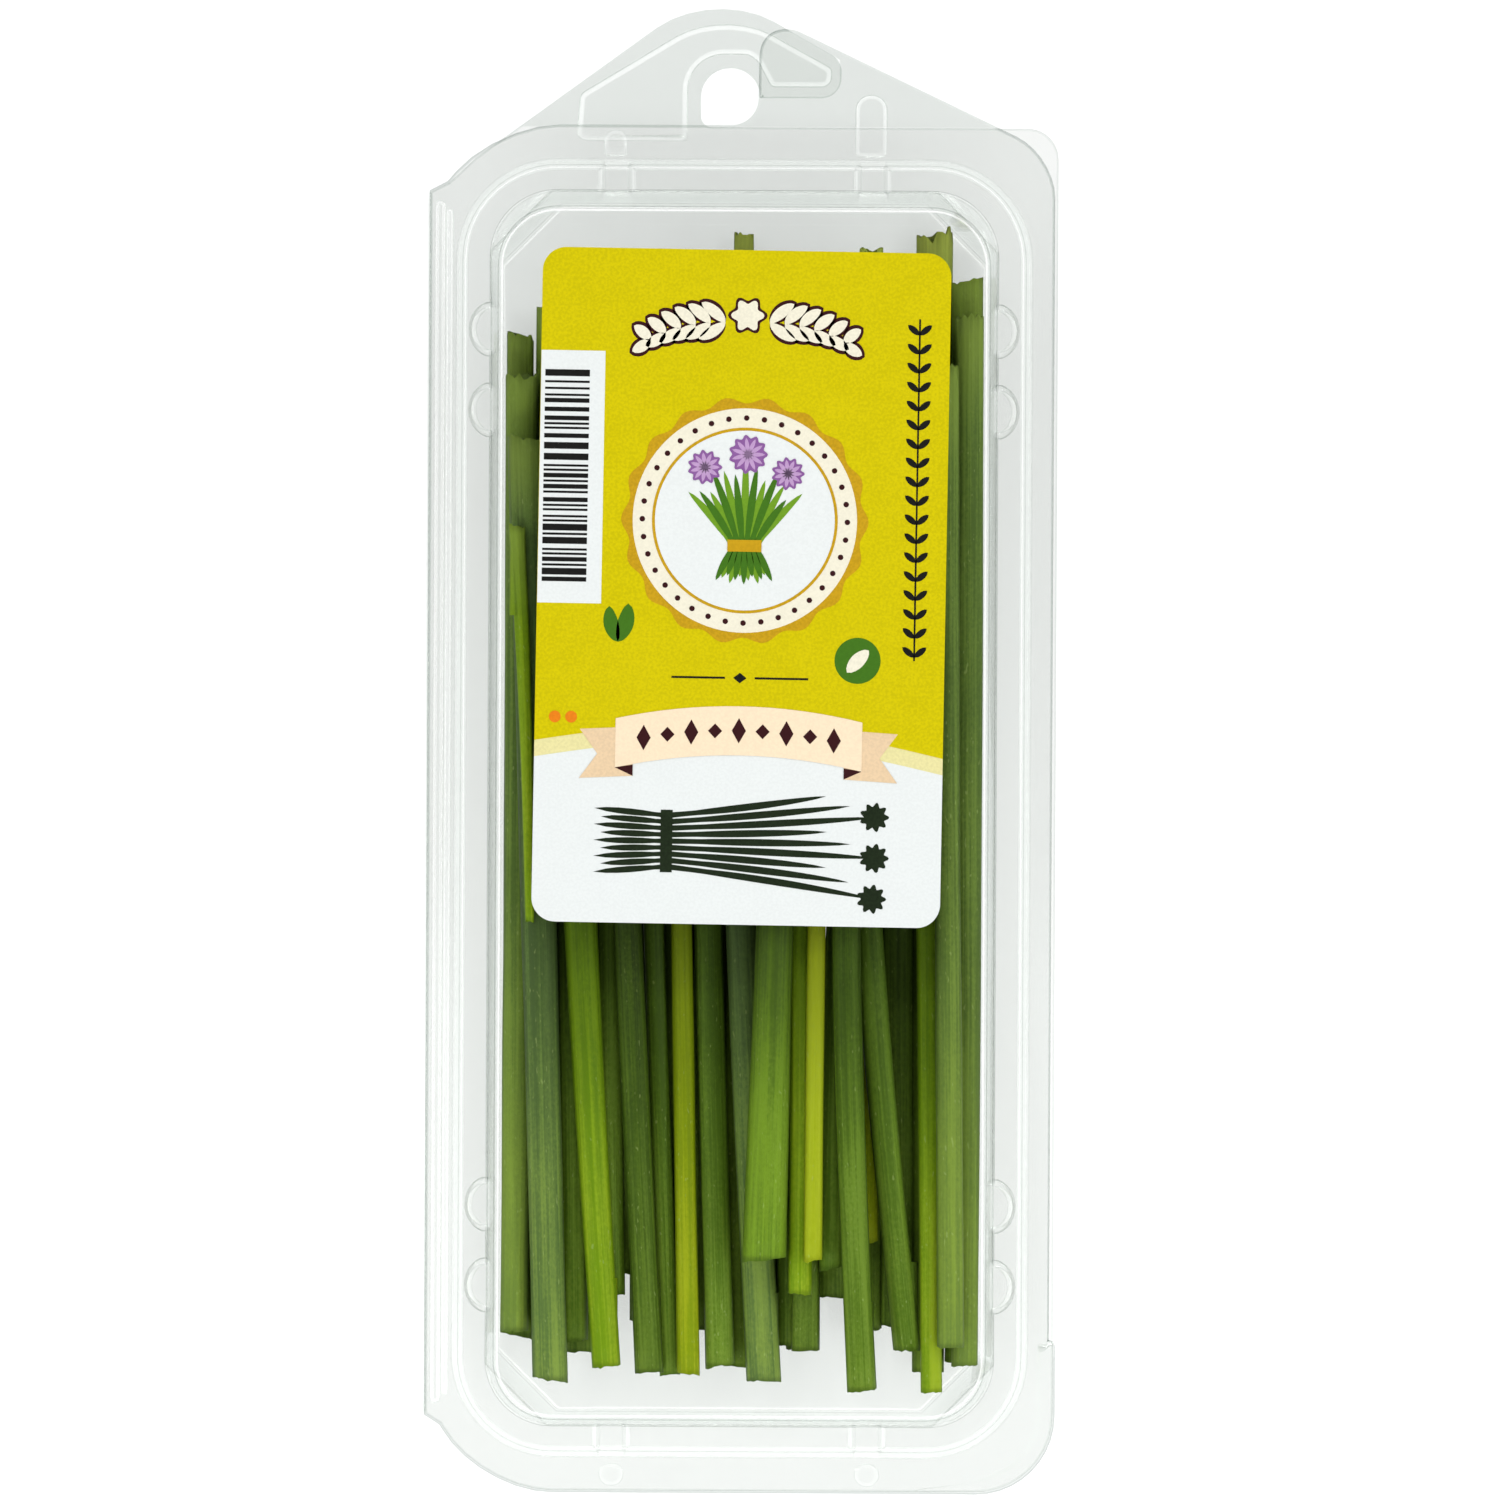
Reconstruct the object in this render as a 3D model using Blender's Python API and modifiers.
"""Retail pack of fresh cut chives: a hinged clear clamshell with a hang tab, a paper label and the leaves.

The pack lies on the floor of its tray with the lid up. +X runs away from the hinge, +Y towards the hang
tab and +Z out through the lid. The origin is the centre of the outer box, on the underside of the tray.
"""

import math

import bmesh
import bpy
import numpy as np
from mathutils import Matrix

MM = 0.001

# Sheet, seat and levels
SHEET = 0.4 * MM
GAP = 0.3 * MM
FLANGE_LEVEL = 9.0 * MM
BEAD_HEIGHT = 2.0 * MM
LID_TOP = 17.0 * MM
TRAY_FLANGE = FLANGE_LEVEL - GAP / 2
LID_FLANGE = FLANGE_LEVEL + GAP / 2

# Outer contour: half width, the lower and upper edges of the body, and the two ends of the fold
HALF_WIDTH = 42.5 * MM
BOTTOM_EDGE = -100.5 * MM
TOP_EDGE = 84.3 * MM
LID_SIDE = 41.8 * MM
BODY_CENTRE_Y = -8.0 * MM
FOLD_LOW = -90.2 * MM
FOLD_HIGH = 75.4 * MM
FOLD_SHOULDER = (-40.1 * MM, 76.6 * MM)
CORNER_RADIUS = 10.5 * MM
ARC_STEP = 15.0
STRAIGHT = math.radians(2.0)

# Hang hole, closed between the hook of the tray and the peak of the lid. Its arcs are a little smaller
# than the hole, so that two of them never meet.
HOLE_X = -2.0 * MM
HOLE_Y = 88.3 * MM
HOLE_RADIUS = 4.0 * MM
HOLE_ARC = 0.98 * HOLE_RADIUS
PEAK_LEAN = 0.2 * MM

# Sealing bead and cavity, as half sizes about the middle of the body
BEAD_BASE = (38.7 * MM, 87.6 * MM)
BEAD_DRAFT = 1.1 * MM
BEAD_CORNER = 13.5 * MM
CAVITY = (34.1 * MM, 83.3 * MM)
CAVITY_CHAMFER = 8.1 * MM
CAVITY_DRAFT = 1.2 * MM
DOME_CORNER = 9.0 * MM
DOME_DRAFT = 1.3 * MM
DOME_END_DRAFT = 1.95 * MM
DOME_SHIFT = -0.65 * MM
DOME_SHOULDER = 0.2 * MM
NEST = 0.18 * MM

# Half-round snap dimples on the long sides of the bead and notches across its ends
SNAPS_Y = (-64.6 * MM, -53.7 * MM, 53.8 * MM, 64.7 * MM)
SNAP_RADIUS = 3.4 * MM
SNAP_REACH = 2.9 * MM
SNAP_DEPTH = 1.0 * MM
SNAP_DRAFT = 0.25 * MM
SNAP_SLOPE = 0.4 * MM
SNAP_SLACK = 0.3 * MM
SNAP_SEAT = 0.1 * MM
SNAP_FOOT = 0.15 * MM
SNAP_ANGLES = (-90, -60, -30, 0, 30, 60, 90)
NOTCHES_X = (-17.3 * MM, 17.3 * MM)
NOTCH_HALF = 2.3 * MM
NOTCH_SLOPE = 0.3 * MM
NOTCH_DEPTH = 0.8 * MM
CORNER_STEPS = 6

# Low panel pressed into the hook, and the flared finger lip at the free corner of the lid
PANEL_DEPTH = 1.0 * MM
PANEL_DRAFT = 0.5 * MM
PANEL_ARC_STEP = 20.0
PANEL_PEAK_MITRE = 1.17
LIP_RISE = 0.8 * MM
LIP_MARGIN = 1.0 * MM
LIP_START_X = 23.0 * MM
LIP_START_Y = -80.0 * MM

# Paper label on the lid
LABEL_SIZE = (55.0 * MM, 90.8 * MM)
LABEL_CENTRE = (-0.2 * MM, 21.8 * MM)
LABEL_TURN = math.radians(-0.75)
LABEL_CORNER = 3.2 * MM
LABEL_THICKNESS = 0.15 * MM

# Chive leaves: hollow, slightly flattened tubes
LEAF_SIDES = 8
LEAF_STATIONS = 7
LEAF_WALL = 0.6 * MM
THINNEST_HOLLOW = 1.2 * LEAF_WALL
CUT_SLANT = 0.3
LEAF_FLATTENING = 0.8
LEAF_SEARCH_STEP = 1.0 * MM
SIDE_LIMIT = 32.6 * MM
FLOOR_BOW = 0.05 * MM
UPPER_BOW = 0.4 * MM
SEED = 7

# Every leaf as (x, y) of its tip end, (x, y) of its cut end and the widths there, in millimetres.
# The order is the order in which they lie in the tray, from the floor up to the lid.
LEAVES = (
    ("floor_01", -30.5, 56.2, -30.3, -80.0, 3.0, 3.8),
    ("floor_02", -26.1, 60.0, -26.0, -78.5, 3.8, 3.8),
    ("floor_03", -21.7, 47.0, -21.5, -82.2, 3.8, 3.8),
    ("floor_04", -17.4, 58.0, -17.1, -71.3, 3.8, 3.8),
    ("floor_05", -13.1, 62.5, -12.8, -78.0, 3.8, 3.8),
    ("floor_06", -8.8, 51.0, -8.5, -76.0, 3.8, 3.8),
    ("floor_07", -4.4, 60.5, -4.2, -78.9, 3.8, 3.8),
    ("floor_08", -0.1, 70.1, 0.1, -84.1, 2.0, 3.8),
    ("floor_09", 4.2, 57.5, 4.4, -74.0, 3.8, 3.8),
    ("floor_10", 8.5, 63.0, 8.6, -81.4, 3.8, 3.8),
    ("floor_11", 12.9, 55.0, 12.8, -74.6, 3.8, 3.8),
    ("floor_12", 17.2, 66.9, 17.1, -79.0, 3.8, 3.8),
    ("floor_13", 21.4, 61.0, 21.4, -78.4, 3.5, 3.8),
    ("floor_14", 25.9, 70.2, 25.7, -84.6, 4.3, 3.7),
    ("floor_15", 30.3, 64.0, 30.2, -82.9, 3.8, 3.8),
    ("middle_01", -30.2, 50.6, -30.6, -79.1, 4.4, 3.9),
    ("middle_02", -24.2, 54.0, -22.4, -80.5, 3.6, 3.6),
    ("middle_03", -19.2, 60.0, -17.3, -74.0, 3.4, 3.6),
    ("middle_04", -14.6, 50.0, -9.4, -85.0, 3.0, 2.8),
    ("middle_05", -6.6, 46.0, -2.6, -83.8, 3.6, 4.0),
    ("middle_06", 6.0, 59.5, 6.7, -81.0, 3.2, 3.3),
    ("middle_07", 10.4, 49.5, 9.0, -81.5, 3.4, 3.8),
    ("middle_08", 14.6, 57.0, 12.4, -70.3, 3.0, 3.3),
    ("middle_09", 17.2, 68.0, 17.6, -66.9, 3.2, 2.4),
    ("middle_10", 16.2, 60.0, 22.8, -81.4, 3.6, 3.9),
    ("middle_11", 30.6, 58.7, 30.6, -83.6, 3.8, 3.6),
    ("upper_01", -29.5, 41.9, -25.6, -85.6, 4.8, 4.8),
    ("upper_02", -24.4, 48.5, -18.0, -83.7, 5.2, 3.9),
    ("upper_03", -18.6, 57.0, -12.2, -84.6, 3.8, 3.9),
    ("upper_04", -9.4, 53.0, -6.9, -84.8, 2.4, 3.1),
    ("upper_05", -3.8, 61.0, 3.4, -85.7, 4.0, 4.6),
    ("upper_06", 7.8, 45.5, 8.2, -73.6, 3.0, 3.2),
    ("upper_07", 11.6, 55.5, 9.9, -69.0, 2.4, 2.5),
    ("upper_08", 17.0, 64.5, 16.6, -86.6, 3.8, 4.0),
    ("upper_09", 24.2, 56.0, 26.1, -87.0, 3.0, 2.9),
    ("upper_10", 27.5, 52.1, 28.6, -80.7, 3.4, 3.7),
    ("upper_11", 6.8, 51.0, 3.3, -68.9, 3.8, 6.0),
    ("torn_tip", -30.6, 30.0, -28.6, -23.4, 2.3, 1.2),
)

# Leaves that bend more than the rest, with the sideways bow at their middle
LEAF_BOWS = {
    "middle_10": -3.1 * MM,
    "upper_02": -0.9 * MM,
    "upper_03": -0.5 * MM,
    "upper_08": -2.8 * MM,
}

SHEET_ROUGHNESS = 0.08
SOFT_ROUGHNESS = 0.5
COLOURS = {
    "tray": (0.80, 0.84, 0.82, 0.35),
    "lid": (0.86, 0.89, 0.88, 0.35),
    "label": (0.76, 0.66, 0.02, 1.0),
    "floor": (0.07, 0.14, 0.03, 1.0),
    "middle": (0.11, 0.22, 0.05, 1.0),
    "upper": (0.16, 0.30, 0.05, 1.0),
    "torn": (0.13, 0.26, 0.02, 1.0),
}


def plain_material(name, colour, roughness):
    """A Principled material of one colour."""
    material = bpy.data.materials.new(name)
    material.use_nodes = True
    shader = material.node_tree.nodes["Principled BSDF"]
    shader.inputs["Base Color"].default_value = colour
    shader.inputs["Roughness"].default_value = roughness
    shader.inputs["Metallic"].default_value = 0.0
    shader.inputs["Alpha"].default_value = colour[3]
    material.diffuse_color = colour
    return material


def rounded_outline(corners, degrees_per_step=ARC_STEP):
    """A closed outline from (x, y, radius) corners, each rounded by an arc of equal steps."""
    points = []
    for i, (x, y, radius) in enumerate(corners):
        here = np.array((x, y))
        before = np.array(corners[i - 1][:2]) - here
        after = np.array(corners[(i + 1) % len(corners)][:2]) - here
        before = before / np.linalg.norm(before)
        after = after / np.linalg.norm(after)
        turn = math.pi - math.acos(float(np.clip(before @ after, -1.0, 1.0)))
        if radius == 0.0 or turn < STRAIGHT:
            points.append(here)
            continue
        reach = radius * math.tan(turn / 2)
        bisector = before + after
        centre = here + bisector / np.linalg.norm(bisector) * radius / math.cos(turn / 2)
        first = here + before * reach - centre
        sense = math.copysign(1.0, before[0] * -after[1] - before[1] * -after[0])
        steps = max(2, round(math.degrees(turn) / degrees_per_step))
        for k in range(steps + 1):
            angle = sense * turn * k / steps
            spin = np.array(((math.cos(angle), -math.sin(angle)), (math.sin(angle), math.cos(angle))))
            points.append(centre + spin @ first)
    return [(float(p[0]), float(p[1])) for p in points]


def side_stations(reach, slack):
    """Stations up a long side as (y, outward, pressed): each snap dimple is a half round in the side."""
    stations = []
    for centre in SNAPS_Y:
        for degrees in SNAP_ANGLES:
            angle = math.radians(degrees)
            inside = abs(degrees) < 90
            outward = reach * math.cos(angle) if inside else 0.0
            stations.append((centre + (SNAP_RADIUS - slack) * math.sin(angle), outward, inside))
    return stations


def end_stations(slack):
    """Stations along a short side as (x, notched)."""
    half = NOTCH_HALF - slack
    stations = []
    for centre in NOTCHES_X:
        stations.append((centre - half, False))
        stations.append((centre - half + NOTCH_SLOPE, True))
        stations.append((centre + half - NOTCH_SLOPE, True))
        stations.append((centre + half, False))
    return stations


def corner_points(half_x, half_y, corner, chamfered):
    """The upper right corner from its side to its end, as an arc or a straight chamfer."""
    points = []
    for k in range(CORNER_STEPS + 1):
        share = k / CORNER_STEPS
        if chamfered:
            points.append((half_x - corner * share, half_y - corner * (1.0 - share)))
        else:
            angle = math.pi / 2 * share
            x = half_x - corner + corner * math.cos(angle)
            y = half_y - corner + corner * math.sin(angle)
            points.append((x, y))
    return points


def ring(half, corner, level, chamfered=False, reach=0.0, drops=(0.0, 0.0), slack=0.0, shift=0.0):
    """One closed ring round the body, counter-clockwise, as (x, y, z); drops are for snaps and notches."""
    half_x, half_y = half
    snap_drop, notch_drop = drops
    quarter = corner_points(half_x, half_y, corner, chamfered)
    sides = side_stations(reach, slack)
    ends = end_stations(slack)
    points = []
    for y, outward, pressed in sides:
        points.append((half_x + outward, y, level - (snap_drop if pressed else 0.0)))
    for x, y in quarter:
        points.append((x, y, level))
    for x, notched in reversed(ends):
        points.append((x, half_y, level - (notch_drop if notched else 0.0)))
    for x, y in reversed(quarter):
        points.append((-x, y, level))
    for y, outward, pressed in reversed(sides):
        points.append((-half_x - outward, y, level - (snap_drop if pressed else 0.0)))
    for x, y in quarter:
        points.append((-x, -y, level))
    for x, notched in ends:
        points.append((x, -half_y, level - (notch_drop if notched else 0.0)))
    for x, y in reversed(quarter):
        points.append((x, -y, level))
    return [(x, y + BODY_CENTRE_Y + shift, z) for x, y, z in points]


def shrunk(half, amount):
    """Half sizes less the same amount on each side."""
    return (half[0] - amount, half[1] - amount)


def add_loop(bm, points):
    """Adds a closed loop of vertices and edges."""
    verts = [bm.verts.new(p) for p in points]
    edges = [bm.edges.new((verts[i - 1], verts[i])) for i in range(len(verts))]
    return verts, edges


def loft(bm, verts_a, verts_b):
    """Quads between two rings with the same number of points."""
    for i in range(len(verts_a)):
        bm.faces.new((verts_a[i - 1], verts_a[i], verts_b[i], verts_b[i - 1]))


def sheet_shell(name, outline, rings, panels, side_of_sheet):
    """A formed sheet: flat flange inside the outline, rings formed in turn, and the last ring filled."""
    bm = bmesh.new()
    level = rings[0][0][2]
    outer, outer_edges = add_loop(bm, [(x, y, level) for x, y in outline])
    formed = [add_loop(bm, points) for points in rings]
    flange_edges = outer_edges + formed[0][1]
    for edge_of_panel, floor_of_panel in panels:
        rim, rim_edges = add_loop(bm, [(x, y, level) for x, y in edge_of_panel])
        low, low_edges = add_loop(bm, [(x, y, level - PANEL_DEPTH) for x, y in floor_of_panel])
        loft(bm, rim, low)
        bmesh.ops.triangle_fill(bm, use_beauty=True, edges=low_edges)
        flange_edges = flange_edges + rim_edges
    bmesh.ops.triangle_fill(bm, use_beauty=True, edges=flange_edges)
    for (verts_a, _), (verts_b, _) in zip(formed, formed[1:]):
        loft(bm, verts_a, verts_b)
    bmesh.ops.triangle_fill(bm, use_beauty=True, edges=formed[-1][1])
    bmesh.ops.recalc_face_normals(bm, faces=bm.faces[:])
    largest = max(bm.faces, key=lambda face: face.calc_area())
    if largest.normal.z < 0:
        bmesh.ops.reverse_faces(bm, faces=bm.faces[:])
    mesh = bpy.data.meshes.new(name)
    bm.to_mesh(mesh)
    bm.free()
    obj = bpy.data.objects.new(name, mesh)
    wall = obj.modifiers.new("wall", "SOLIDIFY")
    wall.thickness = SHEET
    wall.offset = side_of_sheet
    wall.use_even_offset = True
    wall.use_quality_normals = True
    return obj


def hinge_corners():
    """The lower end of the fold, where both outlines start."""
    return [
        (-HALF_WIDTH, FOLD_LOW, 0.0),
        (-40.4 * MM, -91.5 * MM, 0.0),
        (-35.2 * MM, BOTTOM_EDGE, 17.0 * MM),
    ]


def tray_outline():
    """Contour of the tray: body, then the hook round the hang hole, open towards +X."""
    left = HOLE_X - HOLE_RADIUS
    right = HOLE_X + HOLE_RADIUS
    top = HOLE_Y + HOLE_RADIUS
    return rounded_outline(
        hinge_corners()
        + [
            (HALF_WIDTH, BOTTOM_EDGE, CORNER_RADIUS),
            (HALF_WIDTH, TOP_EDGE, 4.2 * MM),
            (left, TOP_EDGE, 1.5 * MM),
            (left, top, HOLE_ARC),
            (right, top, HOLE_ARC),
            (right, HOLE_Y, 0.0),
            (12.9 * MM, HOLE_Y, 2.7 * MM),
            (13.1 * MM, 93.4 * MM, 2.6 * MM),
            (-4.4 * MM, 103.3 * MM, 14.7 * MM),
            (-36.6 * MM, 79.9 * MM, 5.0 * MM),
            (*FOLD_SHOULDER, 0.0),
            (-HALF_WIDTH, FOLD_HIGH, 0.0),
        ]
    )


def lid_outline():
    """Contour of the lid: body, then the peak that closes the hang hole from the right."""
    right = HOLE_X + HOLE_RADIUS
    return rounded_outline(
        hinge_corners()
        + [
            (LIP_START_X, BOTTOM_EDGE, 0.0),
            (HALF_WIDTH, BOTTOM_EDGE, CORNER_RADIUS),
            (HALF_WIDTH, LIP_START_Y, 0.6 * MM),
            (LID_SIDE, LIP_START_Y, 0.0),
            (LID_SIDE, 80.5 * MM, 9.0 * MM),
            (7.0 * MM, 97.1 * MM, 4.0 * MM),
            (right + PEAK_LEAN, 98.2 * MM, 3.4 * MM),
            (right, TOP_EDGE, HOLE_ARC),
            (-33.5 * MM, TOP_EDGE, 18.4 * MM),
            (*FOLD_SHOULDER, 0.0),
            (-HALF_WIDTH, FOLD_HIGH, 0.0),
        ]
    )


def hook_panel(inset):
    """The low panel of the hook, seen from above, at a distance inside its edge."""
    i = inset
    corners = [
        (-22.8 * MM + i, 82.5 * MM + i, 1.2 * MM),
        (-7.9 * MM - i, 82.5 * MM + i, 0.0),
        (-7.9 * MM - i, 94.3 * MM + i, 5.0 * MM),
        (1.2 * MM + i, 94.3 * MM + i, 2.5 * MM),
        (4.0 * MM + i, 89.9 * MM + i, 0.0),
        (11.9 * MM - i, 89.9 * MM + i, 0.0),
        (11.8 * MM - i, 92.0 * MM - i, 0.0),
        (-3.0 * MM, 100.4 * MM - i * PANEL_PEAK_MITRE, 13.0 * MM),
        (-22.3 * MM + i, 88.7 * MM - i, 1.2 * MM),
    ]
    return rounded_outline(corners, PANEL_ARC_STEP)


def tray():
    """Tray: flange, sealing bead with its snap dimples and notches, and the cavity down to the floor."""
    top = TRAY_FLANGE + BEAD_HEIGHT
    pressed = top - SNAP_DEPTH
    notched = (0.0, NOTCH_DEPTH)
    rings = [
        ring(BEAD_BASE, BEAD_CORNER, TRAY_FLANGE),
        ring(shrunk(BEAD_BASE, BEAD_DRAFT), BEAD_CORNER - BEAD_DRAFT, top, drops=notched),
        ring(CAVITY, CAVITY_CHAMFER, top, True, SNAP_REACH, notched),
        ring(shrunk(CAVITY, SNAP_SEAT), CAVITY_CHAMFER, pressed, True, SNAP_REACH - SNAP_DRAFT),
        ring(shrunk(CAVITY, SNAP_FOOT), CAVITY_CHAMFER, pressed - SNAP_SLOPE, True),
        ring(shrunk(CAVITY, CAVITY_DRAFT), CAVITY_CHAMFER, SHEET, True),
    ]
    panels = [(hook_panel(0.0), hook_panel(PANEL_DRAFT))]
    return sheet_shell("tray", tray_outline(), rings, panels, -1.0)


def lid():
    """Lid: flange, bead that seats over the tray's, snap buttons and the raised face."""
    top = LID_FLANGE + BEAD_HEIGHT
    base = shrunk(BEAD_BASE, -NEST)
    corner = BEAD_CORNER + NEST
    reach = SNAP_REACH - SNAP_SLACK
    notched = (0.0, NOTCH_DEPTH)
    pressed = (SNAP_DEPTH - SNAP_SLACK, NOTCH_DEPTH)
    face = LID_TOP - SHEET
    face_half = (CAVITY[0] - DOME_DRAFT, CAVITY[1] - DOME_END_DRAFT)
    shoulder = shrunk(CAVITY, -DOME_SHOULDER)
    seat = shrunk(CAVITY, SNAP_SEAT)
    rings = [
        ring(base, corner, LID_FLANGE, slack=SNAP_SLACK),
        ring(shrunk(base, BEAD_DRAFT), corner - BEAD_DRAFT, top, drops=notched, slack=SNAP_SLACK),
        ring(shoulder, DOME_CORNER, top, False, reach, notched, SNAP_SLACK),
        ring(CAVITY, DOME_CORNER, top, False, reach - SNAP_DRAFT, pressed, SNAP_SLACK),
        ring(seat, DOME_CORNER, top, False, 0.0, pressed, SNAP_SLACK),
        ring(face_half, DOME_CORNER - DOME_DRAFT, face, slack=SNAP_SLACK, shift=DOME_SHIFT),
    ]
    obj = sheet_shell("lid", lid_outline(), rings, [], 1.0)
    for vertex in obj.data.vertices:
        x, y, _ = vertex.co
        beyond = max(abs(x) - base[0], abs(y - BODY_CENTRE_Y) - base[1])
        at_corner = x > LIP_START_X + LIP_MARGIN and y < LIP_START_Y - LIP_MARGIN
        if at_corner and beyond > LIP_MARGIN:
            vertex.co.z += LIP_RISE
    return obj


def label():
    """Label: one rounded sheet of paper, stuck a little askew on the face of the lid."""
    half_x = LABEL_SIZE[0] / 2
    half_y = LABEL_SIZE[1] / 2
    r = LABEL_CORNER
    outline = rounded_outline(
        [(-half_x, -half_y, r), (half_x, -half_y, r), (half_x, half_y, r), (-half_x, half_y, r)]
    )
    bm = bmesh.new()
    _, edges = add_loop(bm, [(x, y, 0.0) for x, y in outline])
    bmesh.ops.contextual_create(bm, geom=edges)
    bmesh.ops.recalc_face_normals(bm, faces=bm.faces[:])
    if bm.faces[:][0].normal.z < 0:
        bmesh.ops.reverse_faces(bm, faces=bm.faces[:])
    place = Matrix.Translation((*LABEL_CENTRE, LID_TOP + GAP)) @ Matrix.Rotation(LABEL_TURN, 4, "Z")
    bmesh.ops.transform(bm, matrix=place, verts=bm.verts[:])
    mesh = bpy.data.meshes.new("label")
    bm.to_mesh(mesh)
    bm.free()
    obj = bpy.data.objects.new("label", mesh)
    paper = obj.modifiers.new("paper", "SOLIDIFY")
    paper.thickness = LABEL_THICKNESS
    paper.offset = 1.0
    return obj


class Pile:
    """The leaves already laid in the tray, sampled along y, so that the next one rests on them."""

    def __init__(self):
        self.laid = []

    def height_over(self, y, x, radius):
        """The lowest centre height at y where a leaf of this half width at x clears all below it."""
        height = SHEET + GAP + radius * LEAF_FLATTENING
        for ys, xs, zs, radii in self.laid:
            if y < ys[0] or y > ys[-1]:
                continue
            other_x = np.interp(y, ys, xs)
            reach = radius + np.interp(y, ys, radii) + GAP / LEAF_FLATTENING
            apart = abs(x - other_x)
            if apart < reach:
                rise = LEAF_FLATTENING * math.sqrt(reach * reach - apart * apart)
                height = max(height, float(np.interp(y, ys, zs)) + rise)
        return height

    def lay(self, ys, xs, radii):
        """Drops a leaf with these stations on the pile and returns its centre heights."""
        reach = (ys[-1] - ys[0]) / (len(ys) - 1)
        samples = np.arange(ys[0], ys[-1] + LEAF_SEARCH_STEP, LEAF_SEARCH_STEP)
        samples = np.minimum(samples, ys[-1])
        needed = []
        for y in samples:
            needed.append(self.height_over(y, np.interp(y, ys, xs), np.interp(y, ys, radii)))
        needed = np.array(needed)
        zs = np.array([needed[abs(samples - y) <= reach + LEAF_SEARCH_STEP].max() for y in ys])
        self.laid.append((ys, xs, zs, radii))
        return zs


def leaf(name, ys, xs, zs, radii, slants):
    """A hollow leaf: flattened rings joined along its length, open at both cut ends."""
    bm = bmesh.new()
    rings = []
    for i, (x, y, z, radius) in enumerate(zip(xs, ys, zs, radii)):
        verts = bmesh.ops.create_circle(bm, cap_ends=False, radius=radius, segments=LEAF_SIDES)["verts"]
        slant = slants[0] if i == 0 else slants[1] if i == len(ys) - 1 else 0.0
        for vert in verts:
            across, up, _ = vert.co
            vert.co = (x + across, y + slant * across, z + up * LEAF_FLATTENING)
        rings.append(verts)
    for ring_a, ring_b in zip(rings, rings[1:]):
        loft(bm, ring_b, ring_a)
    if radii[0] < THINNEST_HOLLOW:
        bmesh.ops.contextual_create(bm, geom=rings[0])
        bmesh.ops.contextual_create(bm, geom=rings[-1])
    bmesh.ops.recalc_face_normals(bm, faces=bm.faces[:])
    face = bm.faces[0]
    centre = face.calc_center_median()
    axis_z = (zs[0] + zs[1]) / 2
    axis_x = (xs[0] + xs[1]) / 2
    if face.normal.x * (centre.x - axis_x) + face.normal.z * (centre.z - axis_z) < 0:
        bmesh.ops.reverse_faces(bm, faces=bm.faces[:])
    mesh = bpy.data.meshes.new(name)
    bm.to_mesh(mesh)
    bm.free()
    mesh.shade_smooth()
    obj = bpy.data.objects.new(name, mesh)
    if radii[0] >= THINNEST_HOLLOW:
        wall = obj.modifiers.new("wall", "SOLIDIFY")
        wall.thickness = LEAF_WALL
        wall.offset = -1.0
    return obj


def leaves():
    """All the leaves, laid in order, each with a little sideways bow and slanting cuts of its own."""
    rng = np.random.default_rng(SEED)
    pile = Pile()
    objects = []
    for name, x_tip, y_tip, x_cut, y_cut, w_tip, w_cut in LEAVES:
        share = np.linspace(0.0, 1.0, LEAF_STATIONS)
        ys = (y_cut + (y_tip - y_cut) * share) * MM
        radii = (w_cut + (w_tip - w_cut) * share) / 2 * MM
        bow = rng.uniform(-1.0, 1.0) * (FLOOR_BOW if name.startswith("floor") else UPPER_BOW)
        bow = LEAF_BOWS.get(name, bow)
        xs = (x_cut + (x_tip - x_cut) * share) * MM + bow * np.sin(math.pi * share)
        xs = np.clip(xs, -SIDE_LIMIT + radii, SIDE_LIMIT - radii)
        slants = rng.uniform(-CUT_SLANT, CUT_SLANT, 2)
        zs = pile.lay(ys, xs, radii)
        objects.append(leaf("chive_" + name, ys, xs, zs, radii, slants))
    return objects


def build():
    """Builds every piece into one collection with its own material."""
    for obj in list(bpy.data.objects):
        bpy.data.objects.remove(obj)
    pack = bpy.data.collections.new("chive_pack")
    bpy.context.scene.collection.children.link(pack)
    for obj in [tray(), lid(), label()] + leaves():
        kind = obj.name.split("_")[1] if obj.name.startswith("chive_") else obj.name
        roughness = SHEET_ROUGHNESS if kind in ("tray", "lid") else SOFT_ROUGHNESS
        obj.data.materials.append(plain_material(obj.name, COLOURS[kind], roughness))
        pack.objects.link(obj)


build()
